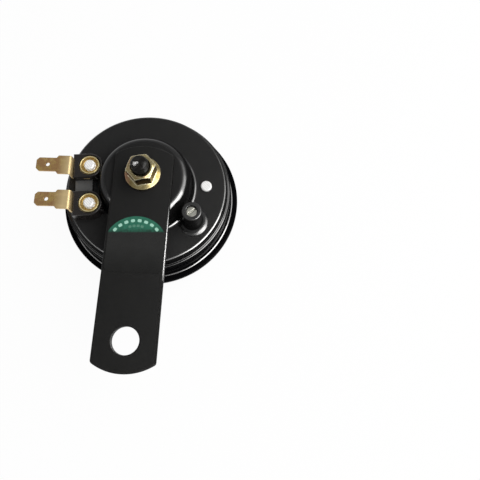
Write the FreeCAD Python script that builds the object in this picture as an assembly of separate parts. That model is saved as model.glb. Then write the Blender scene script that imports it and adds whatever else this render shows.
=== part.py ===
"""Electric disc horn: a pressed housing with a coil inside and a vibrating steel disc in front.

Lengths are in millimetres. The pieces are drawn about the disc's axis, which is Z, with Z = 0 on the flat
ring of the front disc, the back of the horn towards +Z and the mounting strip towards -Y. At the end they
move to the part's own frame, whose origin is the strip's fixing hole, on the strip's outer face.
"""
import FreeCAD
import Part

import math
import os

# Heights over the front ring
lip_z = 12.6
hem_height = 3.6
shoulder_z = 32.2
boss_top_z = 44.4

# Housing sheet
housing_wall = 1.0
boss_radius = 20.0
boss_draft = 0.9
boss_foot_round = 2.2
boss_round = 4.4
shoulder_width = 10.4
shoulder_round = 1.6
shoulder_draft = 0.2
step_drop = 4.1
step_width = 1.8
step_round = 1.0
step_foot_round = 0.5
side_draft = 0.3
side_foot_round = 1.3
hem_width = 3.6
rim_back_round = 0.9
rim_front_round = 1.2
lip_width = 2.2

# Front disc sheet
disc_wall = 0.6
dish_depth = 7.8
dish_floor_radius = 10.8
dish_floor_round = 8.0
dish_rim_radius = 19.2
dish_rim_round = 3.0
skirt_width = 8.2
plateau_round = 2.8
terrace_widths = (1.6, 0.9, 2.3)
terrace_drops = (2.2, 2.0, 3.0)
terrace_round = 0.7
terrace_foot_round = 0.4
terrace_draft = 0.3
disc_edge_gap = 0.2
gasket_width = 1.0

# Mounting strip
strip_width = 25.4
strip_thickness = 2.3
strip_top_y = 13.5
strip_hole_y = -70.3
strip_hole_radius = 5.5
strip_end_margin = 12.6
strip_end_arc = 22.0
strip_corner_round = 1.5
strip_edge_round = 0.45

# Label on the strip
label_margin = 1.0
label_top_y = -19.2
label_length = 24.0
label_cap_height = 7.0
label_corner_round = 2.0
label_thickness = 0.15

# Pole core with its threaded end, and the nut on it
stud_radius = 3.6
stud_reach = 3.8
stud_chamfer = 0.7
stud_hole_gap = 0.3
core_radius = 7.1
core_head_radius = 9.5
core_head_height = 3.0
nut_height = 8.0
nut_flats = 11.0
nut_flange_radius = 7.7
nut_flange_edge = 1.2
nut_flange_undercut = 0.4
nut_flange_rise = 0.9
nut_chamfer = 0.6
nut_angle = 14.0
thread_gap = 0.05

# Coil
bobbin_flange_height = 1.2
bobbin_tube_wall = 1.0
bobbin_gap = 0.1
winding_inset = 1.4

# Armature and the rivet that joins it to the front disc
working_gap = 1.0
armature_over_boss = 1.5
armature_thickness = 4.0
spacer_radius = 6.5
spacer_thickness = 3.0
centre_washer_radius = 7.4
centre_washer_thickness = 1.2
centre_washer_round = 0.35
centre_rivet_radius = 2.5
centre_rivet_head_radius = 3.5
centre_rivet_head_height = 1.4
centre_rivet_round = 0.5
centre_rivet_tail_radius = 4.0
centre_rivet_tail_height = 2.0
rivet_gap = 0.05

# Terminal block on the shoulder
block_angle = 186.3
block_depth = 7.16
block_height = 6.8
lobe_spacing = 18.0
lobe_radius = 5.7
lobe_round = 0.6
bridge_height = 2.6
bridge_inset = 0.34
well_radius = 4.8
well_depth = 2.8
neck_radius = 3.3
neck_gap = 0.1
block_clearance = 0.3

# Blade terminals, bent from strip
terminal_thickness = 0.8
terminal_spacing = 16.2
terminal_strip_width = 8.6
terminal_eye_radius = 4.3
terminal_leg_gap = 0.1
terminal_rise = 4.8
terminal_bend = 0.4
terminal_skew = -3.9
terminal_shelf = 4.9
blade_width = 6.3
blade_taper = 0.8
blade_length = 9.3
blade_tip_chamfer = 1.2
blade_hole_radius = 0.9
blade_hole_margin = 4.9
slot_gap = 0.15

# Rivets of the terminals, with a cup washer under each head
terminal_rivet_radius = 1.7
terminal_rivet_head_radius = 2.55
terminal_rivet_head_height = 2.2
terminal_rivet_notches = 10
terminal_rivet_notch_depth = 0.35
terminal_rivet_tail_height = 1.1
solder_post_radius = 1.2
solder_post_length = 3.0
cup_radius = 4.3
cup_boss_gap = 1.22
cup_wall = 0.5
cup_height = 2.2
inner_plate_thickness = 1.2
inner_plate_radius = 4.6

# Tuning screw in its sleeve
adjuster_angle = -35.3
adjuster_offset = 0.55
sleeve_radius = 4.25
sleeve_height = 15.0
sleeve_bore_radius = 2.55
sleeve_foot_round = 2.8
sleeve_rim_round = 0.5
sleeve_neck_radius = 3.5
sleeve_clinch_radius = 4.8
sleeve_clinch_height = 0.9
tuning_screw_radius = 2.5
tuning_screw_recess = 0.9
tuning_slot_width = 0.9
tuning_slot_depth = 1.2
tuning_screw_dome = 0.5

# Contact breaker, stacked on its rivet
contact_rivet_angle = 4.2
contact_rivet_offset = 0.65
contact_rivet_radius = 1.9
contact_rivet_head_radius = 2.6
contact_rivet_head_height = 1.2
contact_rivet_tail_radius = 2.8
contact_rivet_tail_height = 1.2
stack_radius = 4.0
stack_sleeve_wall = 0.75
stack_foot_thickness = 0.8
arm_width = 7.0
arm_overhang = 3.6
fixed_arm_thickness = 1.0
moving_arm_thickness = 0.3
point_radius = 2.0
point_height = 1.2
point_share = 0.58
finger_width = 4.0
finger_overlap = 2.0
finger_play = 0.8
tag_width = 4.0
tag_reach = 7.0
tail_reach = 9.0

# Lead wires
lead_radius = 0.5
lead_z = 27.0
lead_wall_gap = 2.8
lead_bend = 2.0
lead_gap = 0.05

# Radii and places that follow from the sizes above
boss_foot_radius = boss_radius + boss_draft
terminal_circle = boss_foot_radius + cup_boss_gap + cup_radius
shoulder_radius = terminal_circle + shoulder_width
step_radius = shoulder_radius + step_width
side_foot_radius = step_radius + side_draft
rim_radius = side_foot_radius + hem_width
disc_edge_radius = rim_radius - housing_wall - disc_edge_gap
plateau_radius = rim_radius - skirt_width
bobbin_flange_radius = boss_radius - boss_round - bobbin_gap
winding_radius = bobbin_flange_radius - winding_inset
armature_radius = boss_radius + armature_over_boss
block_reach = math.sqrt(terminal_circle ** 2 - (lobe_spacing / 2) ** 2)
block_edge = block_reach + block_depth
terminal_leg = block_edge + terminal_leg_gap + terminal_thickness
blade_start = terminal_leg + terminal_shelf
blade_tip = blade_start + blade_length
lead_ring_radius = shoulder_radius - housing_wall - lead_wall_gap
contact_rivet_circle = terminal_circle + contact_rivet_offset
contact_rivet_x = contact_rivet_circle * math.cos(math.radians(contact_rivet_angle))
contact_rivet_y = contact_rivet_circle * math.sin(math.radians(contact_rivet_angle))
adjuster_circle = terminal_circle + adjuster_offset
adjuster_x = adjuster_circle * math.cos(math.radians(adjuster_angle))
adjuster_y = adjuster_circle * math.sin(math.radians(adjuster_angle))

# Heights that follow from the sizes above
hem_back_z = lip_z + hem_height
strip_bottom_z = boss_top_z
strip_outer_z = strip_bottom_z + strip_thickness
boss_inside_z = boss_top_z - housing_wall
shoulder_inside_z = shoulder_z - housing_wall
gasket_thickness = (hem_height - 2 * housing_wall - disc_wall) / 2
disc_edge_z = lip_z + housing_wall + gasket_thickness
disc_floor_back_z = dish_depth + disc_wall
armature_front_z = disc_floor_back_z + spacer_thickness
armature_back_z = armature_front_z + armature_thickness
pole_face_z = armature_back_z + working_gap
bobbin_front_z = pole_face_z + core_head_height
nut_top_z = strip_outer_z + nut_height
stud_end_z = nut_top_z + stud_reach
block_top_z = shoulder_z + block_height
well_floor_z = block_top_z - well_depth
strip_eye_top_z = well_floor_z + terminal_thickness
cup_floor_top_z = strip_eye_top_z + cup_wall
inner_plate_z = shoulder_inside_z - inner_plate_thickness
moving_arm_z = armature_back_z + finger_play
points_z = moving_arm_z + moving_arm_thickness
fixed_arm_z = points_z + 2 * point_height
fixed_arm_top_z = fixed_arm_z + fixed_arm_thickness
stack_foot_z = moving_arm_z - stack_foot_thickness
strip_hole = FreeCAD.Vector(0, strip_hole_y, strip_outer_z)
axis_point = FreeCAD.Vector(0, 0, 0)
up = FreeCAD.Vector(0, 0, 1)


def on_section(point):
    """A point of a half section, given as radius and height."""
    return FreeCAD.Vector(point[0], 0, point[1])


def tangent_lengths(corners, rounds):
    """How far each corner's arc reaches along its runs, shortened where two arcs would meet."""
    lengths = [0.0] * len(corners)
    for i in range(1, len(corners) - 1):
        opening = (corners[i - 1] - corners[i]).getAngle(corners[i + 1] - corners[i])
        lengths[i] = rounds[i] / math.tan(opening / 2)
    shares = [1.0] * len(corners)
    for i in range(len(corners) - 1):
        run = corners[i].distanceToPoint(corners[i + 1])
        wanted = lengths[i] + lengths[i + 1]
        if wanted > 0.96 * run:
            shares[i] = min(shares[i], 0.96 * run / wanted)
            shares[i + 1] = min(shares[i + 1], 0.96 * run / wanted)
    return [length * share for length, share in zip(lengths, shares)]


def rounded_path(corners, rounds):
    """Edges of an open path: straight runs joined by arcs."""
    edges = []
    start = corners[0]
    tangents = tangent_lengths(corners, rounds)
    for i in range(1, len(corners) - 1):
        corner = corners[i]
        run_back = (corners[i - 1] - corner).normalize()
        run_ahead = (corners[i + 1] - corner).normalize()
        opening = run_back.getAngle(run_ahead)
        tangent = tangents[i]
        if tangent < 1e-4:
            edges.append(Part.LineSegment(start, corner).toShape())
            start = corner
            continue
        radius = tangent * math.tan(opening / 2)
        enter = corner + run_back * tangent
        leave = corner + run_ahead * tangent
        middle = (run_back + run_ahead).normalize()
        crown = corner + middle * (radius / math.sin(opening / 2) - radius)
        edges.append(Part.LineSegment(start, enter).toShape())
        edges.append(Part.Arc(enter, crown, leave).toShape())
        start = leave
    edges.append(Part.LineSegment(start, corners[-1]).toShape())
    return edges


def rounded_loop(points, rounds):
    """A closed wire through the points, which starts half way along its last side."""
    corners = [FreeCAD.Vector(*p) for p in points]
    middle = (corners[0] + corners[-1]) * 0.5
    path = rounded_path([middle] + corners + [middle], [0] + list(rounds) + [0])
    return Part.Wire(path)


def sheet_face(points, rounds, thickness, side):
    """Section of a bent sheet: a path in radius and height, thickened to its left (1) or right (-1)."""
    count = len(points)
    runs = []
    for (r0, z0), (r1, z1) in zip(points, points[1:]):
        length = math.hypot(r1 - r0, z1 - z0)
        runs.append(((r1 - r0) / length, (z1 - z0) / length))
    normals = [(-side * dz, side * dr) for dr, dz in runs]
    inner = []
    inner_rounds = []
    for i, (r, z) in enumerate(points):
        before = normals[max(i - 1, 0)]
        after = normals[min(i, count - 2)]
        share = thickness / (1 + before[0] * after[0] + before[1] * after[1])
        inner.append((r + share * (before[0] + after[0]), z + share * (before[1] + after[1])))
        turn = 0
        if 0 < i < count - 1:
            turn = side * (runs[i - 1][0] * runs[i][1] - runs[i - 1][1] * runs[i][0])
        inner_rounds.append(max(rounds[i] - thickness, 0.2) if turn > 0 else rounds[i] + thickness)
    outer_path = rounded_path([on_section(p) for p in points], rounds)
    inner_path = rounded_path([on_section(p) for p in inner], inner_rounds)
    first_end = Part.LineSegment(on_section(points[0]), on_section(inner[0])).toShape()
    last_end = Part.LineSegment(on_section(points[-1]), on_section(inner[-1])).toShape()
    wire = Part.Wire(Part.__sortEdges__(outer_path + [last_end] + inner_path + [first_end]))
    return Part.Face(wire)


def turned(points, rounds=None):
    """A solid turned about Z from a closed half section, given as radius and height."""
    rounds = rounds or [0] * len(points)
    wire = rounded_loop([(r, 0, z) for r, z in points], rounds)
    return Part.Face(wire).revolve(axis_point, up, 360)


def cylinder(radius, low, high, x=0, y=0):
    return Part.makeCylinder(radius, high - low, FreeCAD.Vector(x, y, low))


def ring(inner, outer, low, high, x=0, y=0):
    return cylinder(outer, low, high, x, y).cut(cylinder(inner, low - 1, high + 1, x, y))


def prism(points, rounds, low, high):
    """A plate with the given outline in X and Y, from one height to another."""
    wire = rounded_loop([(x, y, low) for x, y in points], rounds)
    return Part.Face(wire).extrude(FreeCAD.Vector(0, 0, high - low))


def box(x0, x1, y0, y1, z0, z1):
    return Part.makeBox(x1 - x0, y1 - y0, z1 - z0, FreeCAD.Vector(x0, y0, z0))


def on_block(shape):
    """Turns a shape from the terminal block's frame, where +X points outwards, to the disc's frame."""
    turned_shape = shape.copy()
    turned_shape.rotate(axis_point, up, block_angle)
    return turned_shape


def block_point(reach, across, z):
    angle = math.radians(block_angle)
    x = reach * math.cos(angle) - across * math.sin(angle)
    y = reach * math.sin(angle) + across * math.cos(angle)
    return FreeCAD.Vector(x, y, z)


def terminal_places():
    """Centres of the two terminal rivets, in the block's frame."""
    return [(block_reach, -lobe_spacing / 2), (block_reach, lobe_spacing / 2)]


def make_housing():
    """Rear cup with its coil boss, side step and a hem folded round the front disc's edge."""
    outside = [
        (stud_radius + stud_hole_gap, boss_top_z),
        (boss_radius, boss_top_z),
        (boss_foot_radius, shoulder_z),
        (shoulder_radius, shoulder_z),
        (shoulder_radius + shoulder_draft, shoulder_z - step_drop),
        (step_radius, shoulder_z - step_drop - side_draft),
        (side_foot_radius, hem_back_z),
        (rim_radius, hem_back_z),
        (rim_radius, lip_z),
        (rim_radius - lip_width, lip_z),
    ]
    rounds = [
        0, boss_round, boss_foot_round, shoulder_round, step_foot_round, step_round,
        side_foot_round, rim_back_round, rim_front_round, 0,
    ]
    shell = sheet_face(outside, rounds, housing_wall, -1).revolve(axis_point, up, 360)
    holes = [cylinder(neck_radius + neck_gap, inner_plate_z, block_top_z, *block_point(x, y, 0)[:2])
             for x, y in terminal_places()]
    holes.append(cylinder(contact_rivet_radius + rivet_gap, inner_plate_z, block_top_z,
                          contact_rivet_x, contact_rivet_y))
    holes.append(cylinder(sleeve_neck_radius + rivet_gap, inner_plate_z, block_top_z,
                          adjuster_x, adjuster_y))
    return shell.cut(Part.Compound(holes))


def make_diaphragm():
    """Front disc: centre dish, flat ring, terraced skirt and a flat edge held in the housing's hem."""
    outside = [
        (centre_rivet_radius + rivet_gap, dish_depth),
        (dish_floor_radius, dish_depth),
        (dish_rim_radius, 0),
        (plateau_radius, 0),
    ]
    rounds = [0, dish_floor_round, dish_rim_round, plateau_round]
    radius = plateau_radius
    z = 0
    for width, drop in zip(terrace_widths, terrace_drops):
        z += drop
        outside += [(radius + terrace_draft, z), (radius + width, z)]
        rounds += [terrace_foot_round, terrace_round]
        radius += width
    outside += [(radius + terrace_draft, disc_edge_z), (disc_edge_radius, disc_edge_z)]
    rounds += [terrace_foot_round, 0]
    return sheet_face(outside, rounds, disc_wall, 1).revolve(axis_point, up, 360)


def make_rim_gaskets():
    """One paper ring on each side of the front disc's edge."""
    front = ring(disc_edge_radius - gasket_width, disc_edge_radius, disc_edge_z - gasket_thickness,
                 disc_edge_z)
    back = ring(disc_edge_radius - gasket_width, disc_edge_radius, disc_edge_z + disc_wall,
                disc_edge_z + disc_wall + gasket_thickness)
    return Part.Compound([front, back])


def strip_outline():
    """Corners and rounds of the strip, with its two ends as shallow arcs, as one closed wire."""
    half = strip_width / 2
    sag = strip_end_arc - math.sqrt(strip_end_arc ** 2 - half ** 2)
    top = strip_top_y
    bottom = strip_hole_y - strip_end_margin
    z = strip_bottom_z
    vector = FreeCAD.Vector
    top_arc = Part.Arc(vector(half, top - sag, z), vector(0, top, z), vector(-half, top - sag, z))
    left = Part.LineSegment(vector(-half, top - sag, z), vector(-half, bottom + sag, z))
    bottom_arc = Part.Arc(vector(-half, bottom + sag, z), vector(0, bottom, z),
                          vector(half, bottom + sag, z))
    right = Part.LineSegment(vector(half, bottom + sag, z), vector(half, top - sag, z))
    return Part.Wire([top_arc.toShape(), left.toShape(), bottom_arc.toShape(), right.toShape()])


def upright_edges(shape, height):
    """Straight vertical edges of the full height."""
    found = []
    for edge in shape.Edges:
        ends = edge.BoundBox
        if ends.XLength < 1e-6 and ends.YLength < 1e-6 and abs(ends.ZLength - height) < 1e-6:
            found.append(edge)
    return found


def make_mounting_bracket():
    """Flat strip with a stud hole over the boss and the fixing hole near its far end."""
    plate = Part.Face(strip_outline()).extrude(FreeCAD.Vector(0, 0, strip_thickness))
    plate = plate.makeFillet(strip_corner_round, upright_edges(plate, strip_thickness))
    rims = [e for e in plate.Edges if e.BoundBox.ZLength < 1e-6]
    plate = plate.makeFillet(strip_edge_round, rims)
    stud_hole = cylinder(stud_radius + stud_hole_gap, strip_bottom_z - 1, strip_outer_z + 1)
    fixing_hole = cylinder(strip_hole_radius, strip_bottom_z - 1, strip_outer_z + 1, 0, strip_hole_y)
    return plate.cut(stud_hole).cut(fixing_hole)


def make_bracket_label():
    """Film stuck to the strip: straight sides, a round top and small round corners below."""
    half = strip_width / 2 - label_margin
    bottom = label_top_y - label_length
    z = strip_outer_z
    vector = FreeCAD.Vector
    left_top = vector(-half, label_top_y - label_cap_height, z)
    right_top = vector(half, label_top_y - label_cap_height, z)
    sides = rounded_path([left_top, vector(-half, bottom, z), vector(half, bottom, z), right_top],
                         [0, label_corner_round, label_corner_round, 0])
    top = Part.Arc(right_top, vector(0, label_top_y, z), left_top).toShape()
    return Part.Face(Part.Wire(sides + [top])).extrude(vector(0, 0, label_thickness))


def make_bracket_nut():
    """Hexagon nut with a round flange, chamfered above."""
    corner_radius = nut_flats / math.sqrt(3)
    corners = []
    for i in range(6):
        angle = math.radians(nut_angle + 60 * i)
        corners.append((corner_radius * math.cos(angle), corner_radius * math.sin(angle)))
    hexagon = prism(corners, [0] * 6, strip_outer_z, nut_top_z)
    flat_radius = nut_flats / 2
    slope = math.tan(math.radians(30))
    trim = turned([
        (0, strip_outer_z), (corner_radius + 1, strip_outer_z),
        (corner_radius + 1, nut_top_z - (corner_radius + 1 - flat_radius + nut_chamfer) * slope),
        (flat_radius - nut_chamfer, nut_top_z), (0, nut_top_z),
    ])
    flange = turned([
        (0, strip_outer_z), (nut_flange_radius - nut_flange_undercut, strip_outer_z),
        (nut_flange_radius, strip_outer_z + nut_flange_undercut),
        (nut_flange_radius, strip_outer_z + nut_flange_edge),
        (flat_radius, strip_outer_z + nut_flange_edge + nut_flange_rise),
        (0, strip_outer_z + nut_flange_edge + nut_flange_rise),
    ], [0, 0, 0.2, 0.5, 0, 0])
    bore = stud_radius + thread_gap
    lead_in = Part.makeCone(bore, bore + nut_chamfer, nut_chamfer,
                            FreeCAD.Vector(0, 0, nut_top_z - nut_chamfer))
    body = hexagon.common(trim).fuse(flange).removeSplitter()
    return body.cut(cylinder(bore, strip_outer_z - 1, nut_top_z + 1)).cut(lead_in)


def make_pole_core():
    """Iron core of the coil, with a pole head in front and the mounting stud behind."""
    return turned([
        (0, pole_face_z), (core_head_radius, pole_face_z), (core_head_radius, bobbin_front_z),
        (core_radius, bobbin_front_z), (core_radius, boss_inside_z), (stud_radius, boss_inside_z),
        (stud_radius, stud_end_z - stud_chamfer), (stud_radius - stud_chamfer, stud_end_z),
        (0, stud_end_z),
    ], [0, 0.4, 0.4, 0, 0, 0, 0.5, 0.6, 0])


def make_coil_bobbin():
    bore = core_radius + bobbin_gap
    tube = bore + bobbin_tube_wall
    flange = bobbin_flange_radius
    height = bobbin_flange_height
    return turned([
        (bore, bobbin_front_z), (flange, bobbin_front_z), (flange, bobbin_front_z + height),
        (tube, bobbin_front_z + height), (tube, boss_inside_z - height),
        (flange, boss_inside_z - height), (flange, boss_inside_z), (bore, boss_inside_z),
    ])


def make_coil_winding():
    tube = core_radius + bobbin_gap + bobbin_tube_wall
    return ring(tube, winding_radius, bobbin_front_z + bobbin_flange_height,
                boss_inside_z - bobbin_flange_height)


def make_armature():
    """Iron disc that the coil pulls, with a seat for the rivet's tail."""
    disc = ring(centre_rivet_radius + rivet_gap, armature_radius, armature_front_z, armature_back_z)
    seat = cylinder(centre_rivet_tail_radius + rivet_gap, armature_back_z - centre_rivet_tail_height,
                    armature_back_z + 1)
    return disc.cut(seat)


def make_armature_spacer():
    return ring(centre_rivet_radius + rivet_gap, spacer_radius, disc_floor_back_z, armature_front_z)


def make_centre_washer():
    """Plate washer in the middle of the dish, with soft edges."""
    front = dish_depth - centre_washer_thickness
    hole = centre_rivet_radius + rivet_gap
    edge = centre_washer_round
    return turned([
        (hole, front), (centre_washer_radius, front), (centre_washer_radius, dish_depth),
        (hole, dish_depth),
    ], [0, edge, edge / 2, 0])


def make_centre_rivet():
    """Rivet through the washer, front disc, spacer and armature, with a flat round head in front."""
    seat = dish_depth - centre_washer_thickness
    front = seat - centre_rivet_head_height
    tail = armature_back_z - centre_rivet_tail_height
    head = centre_rivet_head_radius
    return turned([
        (0, front), (head, front), (head, seat), (centre_rivet_radius, seat),
        (centre_rivet_radius, tail), (centre_rivet_tail_radius, tail),
        (centre_rivet_tail_radius, armature_back_z), (0, armature_back_z),
    ], [0, centre_rivet_round, 0.1, 0, 0, 0, 0.4, 0])


def lobe(radius, edge, low, high, across):
    """Part of the block round one rivet: half a disc towards the boss and square outside."""
    half_disc = cylinder(radius, low, high, block_reach, across)
    square = box(block_reach, edge, across - radius, across + radius, low, high)
    return half_disc.fuse(square).removeSplitter()


def make_terminal_block():
    """Moulded insulator with two lobes, a low bridge between them and a neck through each hole."""
    half = lobe_spacing / 2
    body = box(block_reach - bridge_inset, block_edge, -half, half, shoulder_z,
               shoulder_z + bridge_height)
    for x, y in terminal_places():
        one = lobe(lobe_radius, block_edge, shoulder_z, block_top_z, y)
        tops = [e for e in one.Edges if abs(e.BoundBox.ZMin - block_top_z) < 1e-6]
        one = one.makeFillet(lobe_round, tops)
        body = body.fuse(one)
    boss_space = cylinder(boss_foot_radius + block_clearance, shoulder_z - 1, block_top_z + 1)
    foot_space = cylinder(boss_foot_radius + boss_foot_round + block_clearance, shoulder_z - 1,
                          shoulder_z + boss_foot_round)
    body = body.cut(boss_space).cut(foot_space)
    for i, (x, y) in enumerate(terminal_places()):
        body = body.fuse(cylinder(neck_radius, shoulder_inside_z, shoulder_z, x, y))
        body = body.cut(cylinder(well_radius, well_floor_z, block_top_z + 1, x, y))
        body = body.cut(cylinder(terminal_rivet_radius + rivet_gap, shoulder_inside_z - 1,
                                 block_top_z, x, y))
        body = body.cut(terminal_slot(i))
    return body.removeSplitter()


def terminal_across(index):
    """Middle of a terminal's strip, across the block."""
    return (index * 2 - 1) * terminal_spacing / 2


def skewed(shape, index):
    """Turns a terminal's strip a little about its leg, as both are bent on the horn."""
    result = shape.copy()
    result.rotate(FreeCAD.Vector(terminal_leg, terminal_across(index), 0), up, terminal_skew)
    return result


def terminal_slot(index):
    """Passage of a terminal's strip through the block's outer wall, and a recess for its leg."""
    across = terminal_across(index)
    half = terminal_strip_width / 2 + slot_gap
    passage = box(block_reach, block_edge + 2, across - half, across + half, well_floor_z,
                  strip_eye_top_z + slot_gap)
    recess = box(terminal_leg - terminal_thickness - slot_gap, block_edge + 2, across - half,
                 across + half, well_floor_z, block_top_z + 1)
    return skewed(passage.fuse(recess), index)


def make_terminal(index):
    """Brass strip with an eye under the rivet, a leg up outside the block and a flat blade."""
    across = terminal_across(index)
    half = terminal_strip_width / 2
    blade = blade_width / 2
    blade_z = well_floor_z + terminal_rise
    outer_bend = terminal_bend + terminal_thickness
    path = [(block_reach, well_floor_z), (terminal_leg, well_floor_z), (terminal_leg, blade_z),
            (blade_tip, blade_z)]
    face = sheet_face(path, [0, outer_bend, terminal_bend, 0], terminal_thickness, 1)
    sheet = face.extrude(FreeCAD.Vector(0, terminal_strip_width, 0))
    sheet.translate(FreeCAD.Vector(0, across - half, 0))
    taper_end = blade_start + blade_taper
    tip = blade_tip - blade_tip_chamfer
    outline = [(block_reach, across - half), (blade_start, across - half),
               (taper_end, across - blade), (tip, across - blade),
               (blade_tip, across - blade + blade_tip_chamfer),
               (blade_tip, across + blade - blade_tip_chamfer), (tip, across + blade),
               (taper_end, across + blade), (blade_start, across + half),
               (block_reach, across + half)]
    rounds = [0, 0.5, 0.5, 0.4, 0.4, 0.4, 0.4, 0.5, 0.5, 0]
    plan = prism(outline, rounds, well_floor_z - 1, blade_z + terminal_thickness + 1)
    strip = sheet.common(plan)
    strip = strip.cut(cylinder(blade_hole_radius, blade_z - 1, blade_z + terminal_thickness + 1,
                               blade_tip - blade_hole_margin, across))
    strip = skewed(strip, index)
    x, y = terminal_places()[index]
    eye = cylinder(terminal_eye_radius, well_floor_z, strip_eye_top_z, x, y)
    well = cylinder(well_radius - rivet_gap, well_floor_z - 1, block_top_z + 1, x, y)
    inside = box(block_reach - well_radius, block_reach + 1, y - well_radius, y + well_radius,
                 well_floor_z - 1, block_top_z)
    corners_outside_well = strip.common(inside).cut(well)
    terminal = strip.cut(corners_outside_well).fuse(eye).removeSplitter()
    return terminal.cut(cylinder(terminal_rivet_radius + rivet_gap, well_floor_z - 1, block_top_z, x, y))


def make_terminal_cup_washers():
    """Dished brass washers between the terminals' eyes and the rivet heads."""
    washers = []
    hole = terminal_rivet_radius + rivet_gap
    top = strip_eye_top_z + cup_height
    for x, y in terminal_places():
        cup = turned([
            (hole, strip_eye_top_z), (cup_radius, strip_eye_top_z), (cup_radius, top),
            (cup_radius - cup_wall, top), (cup_radius - cup_wall - 0.2, cup_floor_top_z),
            (hole, cup_floor_top_z),
        ], [0, 0.8, 0.2, 0.2, 0.6, 0])
        cup.translate(FreeCAD.Vector(x, y, 0))
        washers.append(cup)
    return Part.Compound(washers)


def make_terminal_rivets():
    """Rivets with a domed, notched head outside and a tail with a soldering post inside."""
    rivets = []
    head = terminal_rivet_head_radius
    seat = cup_floor_top_z
    crown = seat + terminal_rivet_head_height
    tail = inner_plate_z - terminal_rivet_tail_height
    for x, y in terminal_places():
        body = turned([
            (0, tail - solder_post_length), (solder_post_radius, tail - solder_post_length),
            (solder_post_radius, tail), (head, tail), (head, inner_plate_z),
            (terminal_rivet_radius, inner_plate_z), (terminal_rivet_radius, seat), (head, seat),
            (head, crown), (0, crown),
        ], [0, 0.2, 0, 0.3, 0, 0, 0, 0.1, 1.1, 0])
        for i in range(terminal_rivet_notches):
            angle = 2 * math.pi * i / terminal_rivet_notches
            reach = head + 0.15
            notch = cylinder(terminal_rivet_notch_depth + 0.15, seat + 0.3, crown + 1,
                             reach * math.cos(angle), reach * math.sin(angle))
            body = body.cut(notch)
        body.translate(FreeCAD.Vector(x, y, 0))
        rivets.append(body)
    return Part.Compound(rivets)


def make_inner_insulator_plate():
    """Fibre plate inside the housing, under both terminal rivets."""
    plate = None
    for x, y in terminal_places():
        end = cylinder(inner_plate_radius, inner_plate_z, shoulder_inside_z, x, y)
        plate = end if plate is None else plate.fuse(end)
    half = lobe_spacing / 2
    plate = plate.fuse(box(block_reach - inner_plate_radius, block_reach + inner_plate_radius, -half,
                           half, inner_plate_z, shoulder_inside_z)).removeSplitter()
    for x, y in terminal_places():
        plate = plate.cut(cylinder(terminal_rivet_radius + rivet_gap, inner_plate_z - 1,
                                   shoulder_z, x, y))
    return plate


def make_contact_rivet():
    """Long rivet that clamps the contact stack to the shoulder, with its round head outside."""
    head = contact_rivet_head_radius
    crown = shoulder_z + contact_rivet_head_height
    tail = stack_foot_z - contact_rivet_tail_height
    rivet = turned([
        (0, tail), (contact_rivet_tail_radius, tail), (contact_rivet_tail_radius, stack_foot_z),
        (contact_rivet_radius, stack_foot_z), (contact_rivet_radius, shoulder_z),
        (head, shoulder_z), (head, crown), (0, crown),
    ], [0, 0.4, 0, 0, 0, 0.1, 0.7, 0])
    rivet.translate(FreeCAD.Vector(contact_rivet_x, contact_rivet_y, 0))
    return rivet


def make_adjuster_sleeve():
    """Bush for the tuning screw: a tall tube outside, clinched to the shoulder inside."""
    top = shoulder_z + sleeve_height
    clinch = shoulder_inside_z - sleeve_clinch_height
    tube = sleeve_radius
    foot = sleeve_radius + sleeve_foot_round
    outside = [
        FreeCAD.Vector(sleeve_bore_radius, 0, clinch), FreeCAD.Vector(sleeve_clinch_radius, 0, clinch),
        FreeCAD.Vector(sleeve_clinch_radius, 0, shoulder_inside_z),
        FreeCAD.Vector(sleeve_neck_radius, 0, shoulder_inside_z),
        FreeCAD.Vector(sleeve_neck_radius, 0, shoulder_z), FreeCAD.Vector(foot, 0, shoulder_z),
        FreeCAD.Vector(tube, 0, shoulder_z + sleeve_foot_round),
        FreeCAD.Vector(tube, 0, top - sleeve_rim_round),
        FreeCAD.Vector(tube - sleeve_rim_round, 0, top), FreeCAD.Vector(sleeve_bore_radius, 0, top),
    ]
    edges = []
    slant = math.sqrt(0.5)
    for i, start in enumerate(outside):
        end = outside[(i + 1) % len(outside)]
        if i == 5:
            middle = FreeCAD.Vector(foot - sleeve_foot_round * slant, 0,
                                    shoulder_z + sleeve_foot_round * (1 - slant))
            edges.append(Part.Arc(start, middle, end).toShape())
        elif i == 7:
            middle = FreeCAD.Vector(tube - sleeve_rim_round * (1 - slant), 0,
                                    top - sleeve_rim_round * (1 - slant))
            edges.append(Part.Arc(start, middle, end).toShape())
        else:
            edges.append(Part.LineSegment(start, end).toShape())
    sleeve = Part.Face(Part.Wire(edges)).revolve(axis_point, up, 360)
    sleeve.translate(FreeCAD.Vector(adjuster_x, adjuster_y, 0))
    foot_edge = boss_foot_radius + boss_foot_round + block_clearance
    boss_edge = boss_foot_radius + block_clearance
    beside_boss = turned([(0, shoulder_z), (foot_edge, shoulder_z),
                          (boss_edge, shoulder_z + boss_foot_round), (0, shoulder_z + boss_foot_round)])
    return sleeve.cut(beside_boss)


def make_tuning_screw():
    """Slotted screw in the sleeve, whose tip bears on the fixed contact arm."""
    top = shoulder_z + sleeve_height - tuning_screw_recess
    radius = tuning_screw_radius
    screw = turned([(0, fixed_arm_top_z), (radius, fixed_arm_top_z), (radius, top), (0, top)],
                   [0, 0.8, tuning_screw_dome, 0])
    slot = box(-radius - 1, radius + 1, -tuning_slot_width / 2, tuning_slot_width / 2,
               top - tuning_slot_depth, top + 1)
    slot.rotate(axis_point, up, 40)
    screw = screw.cut(slot)
    screw.translate(FreeCAD.Vector(adjuster_x, adjuster_y, 0))
    return screw


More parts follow.
